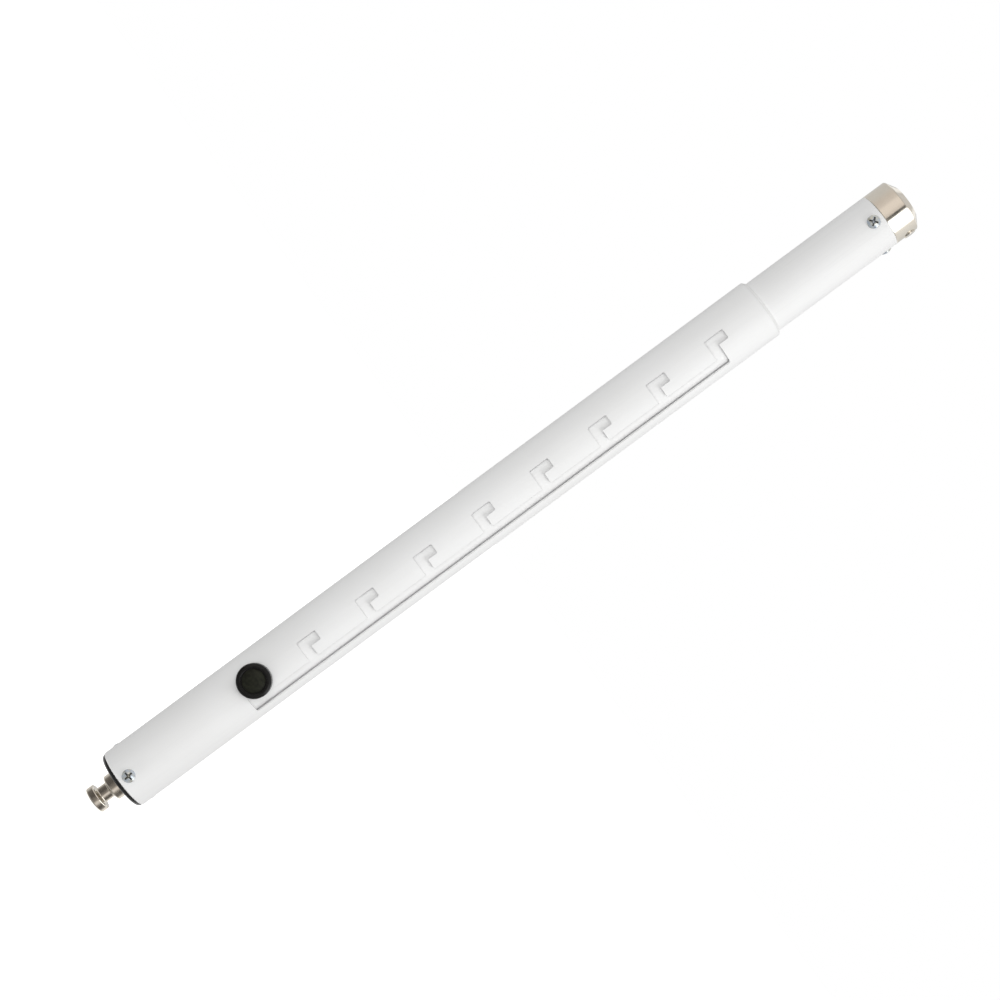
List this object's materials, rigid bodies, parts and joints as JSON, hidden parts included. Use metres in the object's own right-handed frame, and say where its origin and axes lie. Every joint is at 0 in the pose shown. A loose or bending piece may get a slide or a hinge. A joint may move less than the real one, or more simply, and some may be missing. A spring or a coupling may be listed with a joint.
{
  "type": "telescopic coupling pole",
  "caption": "White two-stage telescopic pole: a knob and pin locked in side notches of a long slot, a spool stud on one end and a latching push-button socket on the other.",
  "frame": {"origin": "middle of the coupling stud's head, on the pole's axis", "axes": "+Z along the pole from the stud to the socket, -Y out through the knob, +X completes the right-handed set"},
  "size_m": [0.046, 0.0555, 0.7047],
  "materials": {
    "white_coat": "fine satin powder coat, white",
    "white_coat_inner": "fine satin powder coat, white",
    "white_plastic": "moulded, satin white",
    "black_plastic": "moulded, satin black",
    "black_acetal": "machined, satin black",
    "black_knob": "moulded, semi-gloss black",
    "nickel_plate": "nickel plate over turned steel, faint turning marks",
    "bright_steel": "ground steel",
    "zinc_steel": "zinc plate",
    "zinc_screws": "blue passivated zinc plate",
    "brass_insert": "turned brass",
    "plain_aluminium": "turned aluminium"
  },
  "bodies": {
    "outer_stage": {"outer_tube": "white_coat", "end_plug": "black_plastic", "coupling_stud": "nickel_plate", "stud_washer": "zinc_steel", "stud_nut": "zinc_steel", "end_plug_screws": "zinc_screws", "mouth_bush": "white_plastic"},
    "guide_ring": {"lower_guide_ring": "black_acetal"},
    "inner_stage": {"inner_tube": "white_coat_inner", "carrier_plug": "plain_aluminium", "carrier_cross_pin": "bright_steel", "ring_washer": "zinc_steel", "ring_screw": "zinc_steel", "guide_pin": "bright_steel", "knob_stud": "bright_steel", "knob_washer": "black_plastic", "socket_body": "nickel_plate", "latch_keeper": "plain_aluminium", "socket_screws": "zinc_screws"},
    "knob": {"knob": "black_knob", "knob_insert": "brass_insert", "knob_cap": "black_knob"},
    "release_latch": {"latch_plate": "bright_steel", "release_button": "nickel_plate", "latch_spring": "bright_steel"}
  },
  "joints": [
    {"name": "extension", "type": "slide", "parent": "outer_stage", "child": "guide_ring", "axis": [0, 0, 1], "range_m": [-0.008, 0.4]},
    {"name": "twist", "type": "hinge", "parent": "guide_ring", "child": "inner_stage", "pos_m": [0, 0, 0.0835], "axis": [0, 0, 1], "range_deg": [0, 42]},
    {"name": "knob_turn", "type": "hinge", "parent": "inner_stage", "child": "knob", "pos_m": [0, -0.0247, 0.14], "axis": [0, -1, 0], "range_deg": [0, 360]},
    {"name": "latch_press", "type": "slide", "parent": "inner_stage", "child": "release_latch", "axis": [-0.9945, 0.1045, 0], "range_m": [0, 0.0022], "stiffness_N_per_m": 900, "springref_m": -0.002, "deforming": ["latch_spring"]}
  ]
}
